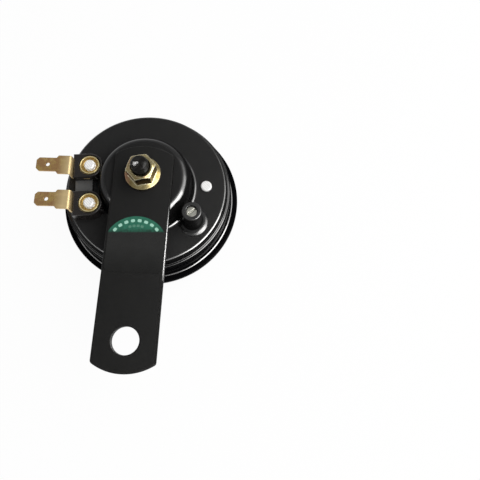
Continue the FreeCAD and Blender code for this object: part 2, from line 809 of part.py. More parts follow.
def arm_frame(shape):
    """Moves a shape drawn along +X from the contact rivet, so that +X runs towards the tuning screw."""
    angle = math.degrees(math.atan2(adjuster_y - contact_rivet_y, adjuster_x - contact_rivet_x))
    placed = shape.copy()
    placed.rotate(axis_point, up, angle)
    placed.translate(FreeCAD.Vector(contact_rivet_x, contact_rivet_y, 0))
    return placed


def arm_length():
    return math.hypot(adjuster_x - contact_rivet_x, adjuster_y - contact_rivet_y)


def arm_distance():
    """How far the arm's middle line passes from the disc's axis."""
    return abs(contact_rivet_x * adjuster_y - contact_rivet_y * adjuster_x) / arm_length()


def stack_hole(low, high):
    sleeve = contact_rivet_radius + rivet_gap + stack_sleeve_wall + rivet_gap
    return cylinder(sleeve, low - 1, high + 1)


def make_fixed_contact_arm():
    """Stiff arm under the tuning screw, with a tag that its lead is soldered to."""
    half = arm_width / 2
    low = fixed_arm_z
    high = fixed_arm_top_z
    bar = box(0, arm_length() + arm_overhang, -half, half, low, high)
    end = cylinder(half, low, high)
    tag = box(-tag_width / 2, tag_width / 2, 0, tag_reach, low, high)
    arm = bar.fuse(end).fuse(tag).removeSplitter().cut(stack_hole(low, high))
    return arm_frame(arm)


def make_moving_contact_arm():
    """Spring arm with a finger over the armature's edge and a soldering tail behind the stack."""
    half = arm_width / 2
    low = moving_arm_z
    high = points_z
    point = arm_length() * point_share
    bar = box(0, point + half, -half, half, low, high)
    end = cylinder(half, low, high)
    tail = box(-tail_reach, 0, -tag_width / 2, tag_width / 2, low, high)
    reach = arm_distance() - (armature_radius - finger_overlap)
    finger = box(point - finger_width / 2, point + finger_width / 2, -reach, 0, low, high)
    arm = bar.fuse(end).fuse(tail).fuse(finger).removeSplitter().cut(stack_hole(low, high))
    return arm_frame(arm)


def make_contact_point(low):
    button = turned([(0, low), (point_radius, low), (point_radius, low + point_height),
                     (0, low + point_height)], [0, 0.2, 0.2, 0])
    button.translate(FreeCAD.Vector(arm_length() * point_share, 0, 0))
    return arm_frame(button)


def make_contact_insulators():
    """Fibre bush down to the fixed arm, spacer between the arms and washer under the moving arm."""
    shank = contact_rivet_radius + rivet_gap
    sleeve = shank + stack_sleeve_wall
    bush = turned([
        (shank, moving_arm_z), (sleeve, moving_arm_z), (sleeve, fixed_arm_top_z),
        (stack_radius, fixed_arm_top_z), (stack_radius, shoulder_inside_z),
        (shank, shoulder_inside_z),
    ])
    spacer = ring(sleeve + rivet_gap, stack_radius, points_z, fixed_arm_z)
    washer = ring(shank, stack_radius, stack_foot_z, moving_arm_z)
    return arm_frame(Part.Compound([bush, spacer, washer]))


def wire_along(points, bends):
    """Round wire along straight runs joined by arcs."""
    path = Part.Wire(rounded_path(points, bends))
    start = points[0]
    along = points[1] - start
    circle = Part.Wire(Part.makeCircle(lead_radius, start, along))
    return path.makePipeShell([circle], True, False)


def polar(radius, degrees, z):
    angle = math.radians(degrees)
    return FreeCAD.Vector(radius * math.cos(angle), radius * math.sin(angle), z)


def angle_of(point):
    return math.degrees(math.atan2(point.y, point.x))


def make_lead_wires():
    """Coil to one terminal, coil to the moving arm, and the other terminal round to the fixed arm."""
    first, second = [block_point(x, y, lead_z) for x, y in terminal_places()]
    post = solder_post_radius + lead_gap
    start = winding_radius + lead_gap
    post_radius = math.hypot(second.x, second.y)
    coil_lead = wire_along([polar(start, angle_of(second), lead_z),
                            polar(post_radius - post, angle_of(second), lead_z)], [0, 0])
    axis = FreeCAD.Vector(adjuster_x - contact_rivet_x, adjuster_y - contact_rivet_y, 0).normalize()
    rivet = FreeCAD.Vector(contact_rivet_x, contact_rivet_y, 0)
    tail = rivet - axis * (tail_reach - 1.5)
    tail_radius = math.hypot(tail.x, tail.y)
    low_z = bobbin_front_z + bobbin_flange_height + 2 * lead_radius + 1
    arm_lead = wire_along([polar(start, angle_of(tail), low_z), polar(tail_radius, angle_of(tail), low_z),
                           polar(tail_radius, angle_of(tail), points_z + lead_gap)],
                          [0, lead_bend, 0])
    side = FreeCAD.Vector(-axis.y, axis.x, 0)
    tag = rivet + side * (tag_reach - 1.5)
    tag_radius = math.hypot(tag.x, tag.y)
    begin = angle_of(first)
    finish = angle_of(tag)
    steps = 6
    points = [polar(math.hypot(first.x, first.y) + post, begin, lead_z),
              polar(lead_ring_radius, begin, lead_z)]
    bends = [0, lead_bend]
    for i in range(1, steps):
        angle = begin + (finish - begin) * i / steps
        points.append(polar(lead_ring_radius, angle, lead_z))
        bends.append(lead_ring_radius)
    points += [polar(tag_radius, finish, lead_z), polar(tag_radius, finish, fixed_arm_top_z + lead_gap)]
    bends += [lead_bend, 0]
    ring_lead = wire_along(points, bends)
    return Part.Compound([coil_lead, arm_lead, ring_lead])


def build():
    """Every piece of the horn by name, in the disc's frame."""
    return {
        "housing": make_housing(),
        "diaphragm": make_diaphragm(),
        "rim_gaskets": make_rim_gaskets(),
        "mounting_bracket": make_mounting_bracket(),
        "bracket_label": make_bracket_label(),
        "bracket_nut": make_bracket_nut(),
        "pole_core": make_pole_core(),
        "coil_bobbin": make_coil_bobbin(),
        "coil_winding": make_coil_winding(),
        "armature": make_armature(),
        "armature_spacer": make_armature_spacer(),
        "centre_washer": make_centre_washer(),
        "centre_rivet": make_centre_rivet(),
        "terminal_block": on_block(make_terminal_block()),
        "contact_terminal": on_block(make_terminal(0)),
        "coil_terminal": on_block(make_terminal(1)),
        "terminal_cup_washers": on_block(make_terminal_cup_washers()),
        "terminal_rivets": on_block(make_terminal_rivets()),
        "inner_insulator_plate": on_block(make_inner_insulator_plate()),
        "contact_rivet": make_contact_rivet(),
        "adjuster_sleeve": make_adjuster_sleeve(),
        "tuning_screw": make_tuning_screw(),
        "fixed_contact_arm": make_fixed_contact_arm(),
        "moving_contact_arm": make_moving_contact_arm(),
        "fixed_contact_point": make_contact_point(points_z + point_height),
        "moving_contact_point": make_contact_point(points_z),
        "contact_insulators": make_contact_insulators(),
        "lead_wires": make_lead_wires(),
    }


os.makedirs("parts", exist_ok=True)
for name, shape in build().items():
    placed = shape.copy()
    placed.translate(-strip_hole)
    placed.exportStep(os.path.join("parts", name + ".step"))
    print(f"{name:24s} solids {len(placed.Solids)} valid {placed.isValid()} "
          f"volume {placed.Volume:9.1f}")
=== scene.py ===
"""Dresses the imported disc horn: paints, metals, plastics, thread and label, with its studio and camera.

Lengths are in metres in the row frame: +Z is out of the horn's back, +Y runs from the strip's fixing hole to
the disc, and the origin is the fixing hole. The horn lies on its front ring, as in the photograph.
"""

import math

import bmesh
import bpy
from mathutils import Matrix, Vector


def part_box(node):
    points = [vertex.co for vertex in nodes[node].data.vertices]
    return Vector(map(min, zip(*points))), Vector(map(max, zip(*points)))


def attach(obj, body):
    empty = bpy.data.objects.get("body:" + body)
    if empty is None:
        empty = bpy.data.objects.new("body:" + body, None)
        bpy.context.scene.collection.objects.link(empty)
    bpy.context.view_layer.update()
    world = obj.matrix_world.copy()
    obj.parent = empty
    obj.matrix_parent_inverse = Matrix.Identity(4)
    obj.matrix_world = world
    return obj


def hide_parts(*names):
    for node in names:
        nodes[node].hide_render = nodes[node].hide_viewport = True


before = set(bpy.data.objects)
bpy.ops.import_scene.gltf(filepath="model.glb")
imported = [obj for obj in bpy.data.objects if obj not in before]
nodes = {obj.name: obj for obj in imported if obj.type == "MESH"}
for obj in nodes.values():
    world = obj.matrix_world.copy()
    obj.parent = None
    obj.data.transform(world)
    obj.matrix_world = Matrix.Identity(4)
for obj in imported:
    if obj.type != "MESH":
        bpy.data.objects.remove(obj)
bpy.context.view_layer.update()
body = "root"
mm = 0.001


def node_low(name):
    return Vector(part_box(name)[0])


def node_high(name):
    return Vector(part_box(name)[1])


# The housing's heights over the front ring, in millimetres.
boss_top = 44.4
shoulder = 32.2
hem_back = 16.2

disc_middle = (node_low("bracket_nut") + node_high("bracket_nut")) / 2
floor_z = node_low("diaphragm").z
hem_back_z = floor_z + hem_back * mm
shoulder_z = floor_z + shoulder * mm
bridge_top_z = shoulder_z + 2.6 * mm
cup_rim_z = node_high("terminal_cup_washers").z
block_left_x = node_low("terminal_block").x
strip_right_x = node_high("mounting_bracket").x

# The label's green cap ends at the chord between its two upper corners, and is printed a little askew.
label_low = node_low("bracket_label")
label_high = node_high("bracket_label")
label_cap_height = 7.0 * mm
label_chord_y = label_high.y - label_cap_height
label_tilt = 0.06


# Materials

class Shader:
    """A Principled material and the few node patterns that the horn's finishes need."""

    def __init__(self, name, color, roughness, metallic=0.0, specular=0.5):
        self.material = bpy.data.materials.new(name)
        self.material.use_nodes = True
        self.tree = self.material.node_tree
        self.principled = self.tree.nodes["Principled BSDF"]
        self.principled.inputs["Base Color"].default_value = (*color, 1)
        self.principled.inputs["Roughness"].default_value = roughness
        self.principled.inputs["Metallic"].default_value = metallic
        self.principled.inputs["Specular IOR Level"].default_value = specular
        self.place = self.node("ShaderNodeTexCoord").outputs["Object"]
        self.normal = None

    def node(self, kind, **settings):
        made = self.tree.nodes.new(kind)
        for key, value in settings.items():
            setattr(made, key, value)
        return made

    def link(self, output, target):
        self.tree.links.new(output, target)

    def stretched(self, scale):
        """The object's coordinates, stretched along each axis."""
        mapping = self.node("ShaderNodeMapping")
        mapping.inputs["Scale"].default_value = scale
        self.link(self.place, mapping.inputs["Vector"])
        return mapping.outputs["Vector"]

    def noise(self, per_metre, detail, stretch=None):
        texture = self.node("ShaderNodeTexNoise")
        texture.inputs["Scale"].default_value = per_metre
        texture.inputs["Detail"].default_value = detail
        texture.inputs["Roughness"].default_value = 0.55
        self.link(self.stretched(stretch) if stretch else self.place, texture.inputs["Vector"])
        return texture.outputs["Fac"]

    def bands(self, direction, scale, distortion=0.0):
        """Soft stripes across the direction."""
        wave = self.node("ShaderNodeTexWave", wave_type="BANDS", bands_direction=direction)
        wave.inputs["Scale"].default_value = scale
        wave.inputs["Distortion"].default_value = distortion
        self.link(self.place, wave.inputs["Vector"])
        return wave.outputs["Fac"]

    def ranged(self, value, low, high, start=0.0, end=1.0):
        """The value's range from low to high, mapped to start to end and held there."""
        mapped = self.node("ShaderNodeMapRange")
        mapped.inputs["From Min"].default_value = low
        mapped.inputs["From Max"].default_value = high
        mapped.inputs["To Min"].default_value = start
        mapped.inputs["To Max"].default_value = end
        self.link(value, mapped.inputs["Value"])
        return mapped.outputs["Result"]

    def spread(self, noise, start=0.0, end=1.0):
        """A noise whose usual values, 0.3 to 0.7, run from start to end."""
        return self.ranged(noise, 0.3, 0.7, start, end)

    def math(self, operation, first, second):
        made = self.node("ShaderNodeMath", operation=operation)
        for socket, value in zip(made.inputs, (first, second)):
            if isinstance(value, (int, float)):
                socket.default_value = value
            else:
                self.link(value, socket)
        return made.outputs[0]

    def product(self, first, *others):
        for other in others:
            first = self.math("MULTIPLY", first, other)
        return first

    def mixed(self, factor, first, second):
        """Colour from first to second as the factor goes from 0 to 1."""
        mix = self.node("ShaderNodeMix", data_type="RGBA")
        self.link(factor, mix.inputs["Factor"])
        for socket, value in ((mix.inputs["A"], first), (mix.inputs["B"], second)):
            if isinstance(value, tuple):
                socket.default_value = (*value, 1)
            else:
                self.link(value, socket)
        return mix.outputs["Result"]

    def paint(self, color):
        self.link(color, self.principled.inputs["Base Color"])

    def shine(self, roughness):
        self.link(roughness, self.principled.inputs["Roughness"])

    def reflect(self, level):
        self.link(level, self.principled.inputs["Specular IOR Level"])

    def bump(self, height, depth, strength):
        made = self.node("ShaderNodeBump")
        made.inputs["Strength"].default_value = strength
        made.inputs["Distance"].default_value = depth
        self.link(height, made.inputs["Height"])
        if self.normal:
            self.link(self.normal, made.inputs["Normal"])
        self.normal = made.outputs["Normal"]
        self.link(self.normal, self.principled.inputs["Normal"])

    def soft_edges(self, radius):
        """Shades sharp edges as if they were rounded to the radius. It comes before any bump."""
        bevel = self.node("ShaderNodeBevel", samples=16)
        bevel.inputs["Radius"].default_value = radius
        self.normal = bevel.outputs["Normal"]
        self.link(self.normal, self.principled.inputs["Normal"])

    def axis(self, name):
        split = self.node("ShaderNodeSeparateXYZ")
        self.link(self.place, split.inputs["Vector"])
        return split.outputs[name]

    def faces_up(self, low, high):
        """0 on upright faces and 1 on faces that look along the disc's axis, either way."""
        geometry = self.node("ShaderNodeNewGeometry")
        split = self.node("ShaderNodeSeparateXYZ")
        self.link(geometry.outputs["Normal"], split.inputs["Vector"])
        return self.ranged(self.math("ABSOLUTE", split.outputs["Z"], 0.0), low, high)

    def edge_mask(self, radius, start=0.02, end=0.2):
        """1 on edges and 0 on open faces."""
        bevel = self.node("ShaderNodeBevel", samples=6)
        bevel.inputs["Radius"].default_value = radius
        geometry = self.node("ShaderNodeNewGeometry")
        dot = self.node("ShaderNodeVectorMath", operation="DOT_PRODUCT")
        self.link(bevel.outputs["Normal"], dot.inputs[0])
        self.link(geometry.outputs["Normal"], dot.inputs[1])
        return self.ranged(self.math("SUBTRACT", 1.0, dot.outputs["Value"]), start, end)


def housing_paint():
    """Black enamel: satin on the flats, glossy on the rounds, bare of gloss on the steep walls. Its flats
    are painted lighter, a painted reflection, and the walls below the shoulder darker, painted shade.
    """
    s = Shader("black_housing_paint", (0.006, 0.006, 0.006), 0.16)
    height = s.axis("Z")
    upper = s.ranged(height, shoulder_z - 2 * mm, shoulder_z - 0.5 * mm)
    flat = s.product(upper, s.faces_up(0.92, 0.985))
    # The flats get a lighter colour: a painted reflection of the ceiling.
    flat_colour_painted_reflection = s.mixed(s.noise(60, 4), (0.0122, 0.0122, 0.0124), (0.0178, 0.0178, 0.0175))
    # Below the shoulder the rounds and walls are darker: painted shade.
    rounds = s.mixed(upper, (0.0025, 0.0025, 0.003), (0.006, 0.006, 0.006))
    s.paint(s.mixed(flat, rounds, flat_colour_painted_reflection))
    satin = s.ranged(flat, 0.0, 1.0, 0.0, 0.2)
    s.shine(s.math("ADD", satin, s.spread(s.noise(140, 3), 0.13, 0.19)))
    above_hem = s.ranged(height, hem_back_z + 0.01 * mm, hem_back_z + 0.06 * mm)
    side = s.ranged(height, hem_back_z + 3 * mm, hem_back_z + 5 * mm, 1.6, 0.35)
    foot = s.ranged(height, shoulder_z + 0.05 * mm, shoulder_z + 0.4 * mm, 1.0, 0.55)
    boss = s.ranged(height, shoulder_z + 3 * mm, shoulder_z + 5 * mm, 0.0, 0.6)
    gloss = s.product(above_hem, s.faces_up(0.72, 0.85), s.math("MAXIMUM", side, upper),
                      s.math("MAXIMUM", foot, boss), s.ranged(flat, 0.0, 1.0, 1.0, 0.12))
    s.reflect(s.ranged(gloss, 0.0, 0.8, 0.004, 1.0))
    s.bump(s.noise(450, 2), 0.003 * mm, 0.4)
    return s.material


def sleeve_paint():
    """Satin black tube whose wall is dull and whose rim shines."""
    s = Shader("black_sleeve_paint", (0.006, 0.006, 0.006), 0.24, specular=0.3)
    s.soft_edges(0.2 * mm)
    s.paint(s.mixed(s.noise(60, 4), (0.005, 0.005, 0.0051), (0.0085, 0.0085, 0.0083)))
    s.shine(s.spread(s.noise(140, 3), 0.22, 0.3))
    s.reflect(s.ranged(s.faces_up(0.3, 0.95), 0.0, 1.0, 0.01, 0.9))
    s.bump(s.noise(450, 2), 0.006 * mm, 0.4)
    return s.material


def front_paint():
    """Glossy brownish black, bare of gloss on the steep terraces."""
    s = Shader("black_front_paint", (0.005, 0.0045, 0.0045), 0.1)
    s.reflect(s.ranged(s.faces_up(0.5, 0.85), 0.0, 1.0, 0.03, 0.5))
    s.paint(s.mixed(s.noise(45, 4), (0.004, 0.0024, 0.002), (0.017, 0.0075, 0.006)))
    s.shine(s.spread(s.noise(120, 3), 0.08, 0.14))
    s.bump(s.noise(400, 2), 0.003 * mm, 0.4)
    return s.material


def strip_paint():
    """Satin black, dull on the cut edges. The right edge is rubbed glossy along the disc."""
    s = Shader("black_strip_coat", (0.005, 0.005, 0.005), 0.34)
    s.soft_edges(0.7 * mm)
    grain = s.noise(2600, 3)
    level = s.faces_up(0.4, 0.9)
    s.paint(s.mixed(s.noise(90, 4), (0.006, 0.006, 0.006), (0.01, 0.01, 0.0095)))
    s.shine(s.math("ADD", s.ranged(level, 0.0, 1.0, 0.22, 0.3), s.spread(grain, 0.0, 0.08)))
    right_edge = s.ranged(s.axis("X"), strip_right_x - 0.7 * mm, strip_right_x - 0.5 * mm)
    along = s.axis("Y")
    rubbed = s.product(s.ranged(along, 24 * mm, 28 * mm), s.ranged(along, 40 * mm, 57 * mm, 1.0, 0.0))
    plain = s.product(s.ranged(level, 0.0, 1.0, 0.02, 0.14), s.ranged(right_edge, 0.0, 1.0, 1.0, 0.1))
    s.reflect(s.math("ADD", plain, s.product(right_edge, rubbed)))
    s.bump(grain, 0.01 * mm, 0.4)
    return s.material


def terminal_brass():
    """Rolled brass with long streaks, brown tarnish and specks, with a painted highlight that makes the
    shelf beside the block paler.
    """
    s = Shader("terminal_brass", (0.62, 0.42, 0.18), 0.26, metallic=0.85)
    s.soft_edges(0.15 * mm)
    streaks = s.noise(500, 4, stretch=(0.15, 1.0, 1.0))
    streaked = s.mixed(s.spread(streaks), (0.62, 0.42, 0.14), (0.78, 0.57, 0.23))
    tarnished = s.mixed(s.ranged(s.noise(220, 5), 0.43, 0.57), streaked, (0.54, 0.32, 0.14))
    specked = s.mixed(s.ranged(s.noise(2300, 2), 0.55, 0.66), tarnished, (0.46, 0.22, 0.12))
    shelf = s.ranged(s.axis("X"), block_left_x - 5 * mm, block_left_x - 0.5 * mm)
    # The shelf beside the block is painted paler: a painted highlight on its bend.
    pale = s.mixed(shelf, specked, (0.8, 0.62, 0.33))
    s.paint(s.mixed(s.edge_mask(0.3 * mm), pale, (0.45, 0.28, 0.1)))
    s.shine(s.math("ADD", s.spread(streaks, 0.2, 0.34), s.ranged(shelf, 0.0, 1.0, 0.0, 0.22)))
    s.bump(streaks, 0.006 * mm, 0.4)
    return s.material


def cup_brass():
    """Yellow brass, painted darker down in the cup as painted shade."""
    s = Shader("cup_brass", (0.72, 0.6, 0.3), 0.24, metallic=0.65)
    s.soft_edges(0.1 * mm)
    gold = s.mixed(s.noise(500, 3), (0.62, 0.48, 0.2), (0.9, 0.8, 0.46))
    # Down in the cup the brass is painted darker: painted shade.
    near_rim = s.ranged(s.axis("Z"), cup_rim_z - 1.5 * mm, cup_rim_z - 0.5 * mm)
    s.paint(s.mixed(near_rim, (0.5, 0.34, 0.11), gold))
    s.shine(s.spread(s.noise(700, 2), 0.14, 0.26))
    return s.material


def silver_metal():
    """Bright plated heads with a fine hatch."""
    s = Shader("silver_rivet_metal", (0.95, 0.95, 0.93), 0.3, metallic=0.15)
    s.soft_edges(0.1 * mm)
    hatch = s.bands("DIAGONAL", 520, distortion=1.5)
    bright = s.mixed(s.noise(700, 3), (0.97, 0.97, 0.95), (1.0, 1.0, 0.99))
    s.paint(s.mixed(s.ranged(hatch, 0.0, 0.4), (0.7, 0.7, 0.72), bright))
    s.shine(s.spread(s.noise(900, 2), 0.24, 0.4))
    s.bump(hatch, 0.012 * mm, 0.5)
    return s.material


def nut_zinc():
    """Yellow zinc with reddish patches, painted shade on its upright sides and painted highlights on its
    edges.
    """
    s = Shader("nut_yellow_zinc", (0.5, 0.42, 0.22), 0.24, metallic=1.0)
    s.soft_edges(0.3 * mm)
    flow = s.ranged(s.noise(180, 4), 0.35, 0.65)
    bright = s.mixed(flow, (0.27, 0.2, 0.07), (0.62, 0.52, 0.26))
    tinted = s.mixed(s.ranged(s.noise(140, 2), 0.54, 0.64), bright, (0.46, 0.25, 0.15))
    # The upright sides are painted nearly black: painted shade.
    with_side_painted_shade = s.mixed(s.faces_up(0.2, 0.6), (0.06, 0.03, 0.01), tinted)
    # The edges are painted near white: painted highlights.
    s.paint(s.mixed(s.edge_mask(0.8 * mm, 0.01, 0.1), with_side_painted_shade, (1.0, 0.94, 0.7)))
    s.shine(s.spread(s.noise(600, 3), 0.2, 0.3))
    s.bump(s.noise(900, 2), 0.01 * mm, 0.4)
    return s.material


def stud_black():
    """Black oxide with uneven small highlights."""
    s = Shader("stud_black_oxide", (0.006, 0.005, 0.004), 0.14, specular=0.25)
    s.paint(s.mixed(s.noise(600, 3), (0.003, 0.0026, 0.0022), (0.01, 0.009, 0.007)))
    s.shine(s.spread(s.noise(1200, 3), 0.08, 0.22))
    s.bump(s.noise(700, 3), 0.2 * mm, 0.6)
    return s.material


def block_plastic():
    """Black moulding whose low bridge has a dull grey top."""
    s = Shader("block_black_plastic", (0.016, 0.014, 0.013), 0.22, specular=0.45)
    s.soft_edges(0.2 * mm)
    black = s.mixed(s.noise(260, 3), (0.009, 0.0075, 0.007), (0.019, 0.0155, 0.0145))
    grey = s.mixed(s.noise(420, 4), (0.065, 0.065, 0.065), (0.1, 0.1, 0.098))
    bridge = s.ranged(s.axis("Z"), bridge_top_z + 0.4 * mm, bridge_top_z + 0.8 * mm, 1.0, 0.0)
    s.paint(s.mixed(s.product(bridge, s.faces_up(0.8, 0.95)), black, grey))
    s.shine(s.spread(s.noise(500, 3), 0.16, 0.3))
    s.bump(s.noise(1400, 3), 0.01 * mm, 0.5)
    return s.material


def grey_zinc():
    """Dull olive grey plating."""
    s = Shader("dull_grey_zinc", (0.5, 0.48, 0.4), 0.4, metallic=1.0)
    s.paint(s.mixed(s.noise(450, 5), (0.25, 0.245, 0.18), (0.42, 0.41, 0.32)))
    s.shine(s.spread(s.noise(800, 3), 0.32, 0.48))
    s.bump(s.noise(1800, 3), 0.01 * mm, 0.4)
    return s.material


def rivet_brass():
    s = Shader("pale_rivet_brass", (0.82, 0.72, 0.5), 0.24, metallic=1.0)
    s.paint(s.mixed(s.noise(600, 3), (0.72, 0.6, 0.4), (0.92, 0.84, 0.66)))
    s.shine(s.spread(s.noise(900, 2), 0.18, 0.3))
    return s.material


def screw_zinc():
    s = Shader("tuning_screw_zinc", (0.45, 0.45, 0.41), 0.34, metallic=0.6)
    s.soft_edges(0.3 * mm)
    s.paint(s.mixed(s.noise(500, 4), (0.24, 0.24, 0.21), (0.4, 0.4, 0.36)))
    s.shine(s.spread(s.noise(900, 2), 0.28, 0.44))
    return s.material


def plain_steel():
    s = Shader("plain_steel", (0.5, 0.49, 0.47), 0.35, metallic=1.0)
    s.paint(s.mixed(s.noise(300, 4), (0.42, 0.41, 0.39), (0.56, 0.55, 0.53)))
    s.bump(s.noise(1500, 2), 0.02 * mm, 0.3)
    return s.material


def copper_wire():
    """Enamelled copper, with the turns of the winding as bands."""
    s = Shader("enamelled_copper", (0.6, 0.26, 0.12), 0.25, metallic=1.0)
    turns = s.bands("Z", 420)
    s.paint(s.mixed(turns, (0.42, 0.16, 0.07), (0.66, 0.3, 0.15)))
    s.bump(turns, 0.1 * mm, 0.6)
    return s.material


def fibre_board():
    s = Shader("fibre_board", (0.2, 0.13, 0.08), 0.8)
    s.paint(s.mixed(s.noise(900, 5), (0.14, 0.09, 0.055), (0.26, 0.18, 0.12)))
    s.bump(s.noise(2500, 4), 0.03 * mm, 0.6)
    return s.material


def bobbin_nylon():
    s = Shader("bobbin_nylon", (0.62, 0.58, 0.48), 0.45)
    s.paint(s.mixed(s.noise(300, 3), (0.55, 0.51, 0.42), (0.68, 0.64, 0.55)))
    s.bump(s.noise(1200, 2), 0.02 * mm, 0.4)
    return s.material


def label_film():
    """Dark glossy film whose round cap, above its chord, is green, and deeper green along the chord."""
    s = Shader("label_film", (0.01, 0.01, 0.01), 0.2, specular=0.28)
    up_strip = s.axis("Y")
    along = s.math("SUBTRACT", up_strip, s.product(s.axis("X"), label_tilt))
    cap = s.ranged(along, label_chord_y - 0.1 * mm, label_chord_y + 0.1 * mm)
    film = s.mixed(s.noise(70, 4), (0.015, 0.0153, 0.015), (0.024, 0.024, 0.023))
    film = s.mixed(s.ranged(up_strip, label_low.y, label_chord_y - 6 * mm), (0.0085, 0.0085, 0.0081), film)
    green = s.mixed(s.noise(500, 4), (0.014, 0.092, 0.057), (0.035, 0.175, 0.114))
    ragged = s.math("ADD", along, s.spread(s.noise(900, 2), 0.0, 1.5 * mm))
    above_chord = s.ranged(ragged, label_chord_y + 0.5 * mm, label_chord_y + 3 * mm)
    s.paint(s.mixed(cap, film, s.mixed(above_chord, (0.013, 0.04, 0.028), green)))
    s.shine(s.spread(s.noise(240, 3), 0.22, 0.34))
    s.bump(s.noise(260, 3), 0.06 * mm, 0.3)
    return s.material


def mark_ink(name, dark, light):
    s = Shader(name, light, 0.4, specular=0.3)
    s.paint(s.mixed(s.noise(1500, 3), dark, light))
    return s.material


def dress(obj, material):
    obj.data.materials.clear()
    obj.data.materials.append(material)


finishes = {
    "housing": housing_paint(),
    "adjuster_sleeve": sleeve_paint(),
    "diaphragm": front_paint(),
    "mounting_bracket": strip_paint(),
    "bracket_label": label_film(),
    "bracket_nut": nut_zinc(),
    "pole_core": stud_black(),
    "terminal_block": block_plastic(),
    "centre_washer": grey_zinc(),
    "centre_rivet": rivet_brass(),
    "terminal_cup_washers": cup_brass(),
    "tuning_screw": screw_zinc(),
    "coil_bobbin": bobbin_nylon(),
}
shared_finishes = (
    (terminal_brass(), ("contact_terminal", "coil_terminal")),
    (silver_metal(), ("terminal_rivets", "contact_rivet", "fixed_contact_point", "moving_contact_point")),
    (plain_steel(), ("armature", "armature_spacer", "fixed_contact_arm", "moving_contact_arm")),
    (copper_wire(), ("coil_winding", "lead_wires")),
    (fibre_board(), ("rim_gaskets", "inner_insulator_plate", "contact_insulators")),
)
for material, names in shared_finishes:
    for name in names:
        finishes[name] = material
for name, material in finishes.items():
    dress(nodes[name], material)


# Pieces that the scene adds

def mesh_from(bm, name):
    mesh = bpy.data.meshes.new(name)
    bm.to_mesh(mesh)
    bm.free()
    return mesh


def add_piece(name, mesh, material, smooth=True):
    """Puts the mesh in the scene as a piece that rides with the whole horn."""
    obj = bpy.data.objects.new(name, mesh)
    bpy.context.scene.collection.objects.link(obj)
    for polygon in mesh.polygons:
        polygon.use_smooth = smooth
    dress(obj, material)
    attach(obj, body)
    return obj


# Sheets turned about the disc's axis. Each point is a radius and a height over the front ring, on the side
# that is seen, and each has the radius of its bend. All of it is in millimetres.
turn_steps = 192
arc_step = math.radians(7.5)
least_hidden_round = 0.2
share_for_rounds = 0.96
least_tangent = 1e-4
same_point = 1e-6
housing_wall = 1.0
housing_path = [(3.9, boss_top), (20.0, boss_top), (20.9, shoulder), (36.82, shoulder), (37.02, 28.1),
                (38.62, 27.8), (38.92, hem_back), (42.5, hem_back), (42.5, 12.6), (40.32, 12.6)]
housing_rounds = [0, 4.4, 2.2, 1.6, 0.5, 1.0, 1.3, 0.9, 1.2, 0]
front_wall = 0.6
front_path = [(2.55, 7.8), (10.8, 7.8), (19.2, 0), (34.32, 0), (34.62, 2.2), (35.92, 2.2), (36.22, 4.2),
              (36.82, 4.2), (37.12, 7.2), (39.12, 7.2), (39.42, 14.1), (41.32, 14.1)]
front_rounds = [0, 8.0, 3.0, 2.8, 0.4, 0.7, 0.4, 0.7, 0.4, 0.7, 0.4, 0]


def sheet_profile(path, rounds, wall, side):
    """Closed section of a bent sheet, thickened to the left (1) or right (-1) of its seen path."""
    points = [Vector(point) for point in path]
    runs = [(ahead - back).normalized() for back, ahead in zip(points, points[1:])]
    last = len(runs) - 1
    hidden = []
    hidden_rounds = []
    for i, point in enumerate(points):
        before, after = runs[max(i - 1, 0)], runs[min(i, last)]
        bisector = Vector((-side * (before.y + after.y), side * (before.x + after.x)))
        hidden.append(point + bisector * (wall / (1 + before.dot(after))))
        turns_in = side * before.cross(after) > 0
        corner_round = max(rounds[i] - wall, least_hidden_round) if turns_in else rounds[i] + wall
        hidden_rounds.append(corner_round if 0 < i <= last else 0)
    if side < 0:
        return points + hidden[::-1], rounds + hidden_rounds[::-1]
    return points[::-1] + hidden, rounds[::-1] + hidden_rounds


def profile_stations(corners, rounds):
    """Points of a clockwise closed profile with their outward normals, its corners turned to arcs."""
    count = len(corners)
    runs = [corners[(i + 1) % count] - corners[i] for i in range(count)]
    ways = [run.normalized() for run in runs]
    turns = [math.asin(max(-1.0, min(1.0, ways[i - 1].cross(ways[i])))) for i in range(count)]
    reach = [rounds[i] * math.tan(abs(turns[i]) / 2) for i in range(count)]
    shares = [1.0] * count
    for i in range(count):
        ahead = (i + 1) % count
        wanted = reach[i] + reach[ahead]
        room = share_for_rounds * runs[i].length
        if wanted > room:
            shares[i] = min(shares[i], room / wanted)
            shares[ahead] = min(shares[ahead], room / wanted)
    stations = []
    for i, corner in enumerate(corners):
        back, ahead = ways[i - 1], ways[i]
        first, last = Vector((-back.y, back.x)), Vector((-ahead.y, ahead.x))
        tangent = reach[i] * shares[i]
        if tangent < least_tangent:
            stations += [(corner, first), (corner, last)]
            continue
        radius = math.copysign(tangent / math.tan(abs(turns[i]) / 2), -turns[i])
        centre = corner - back * tangent - first * radius
        steps = max(3, math.ceil(abs(turns[i]) / arc_step))
        for k in range(steps + 1):
            normal = first.copy()
            normal.rotate(Matrix.Rotation(turns[i] * k / steps, 2))
            stations.append((centre + normal * radius, normal))
    return stations


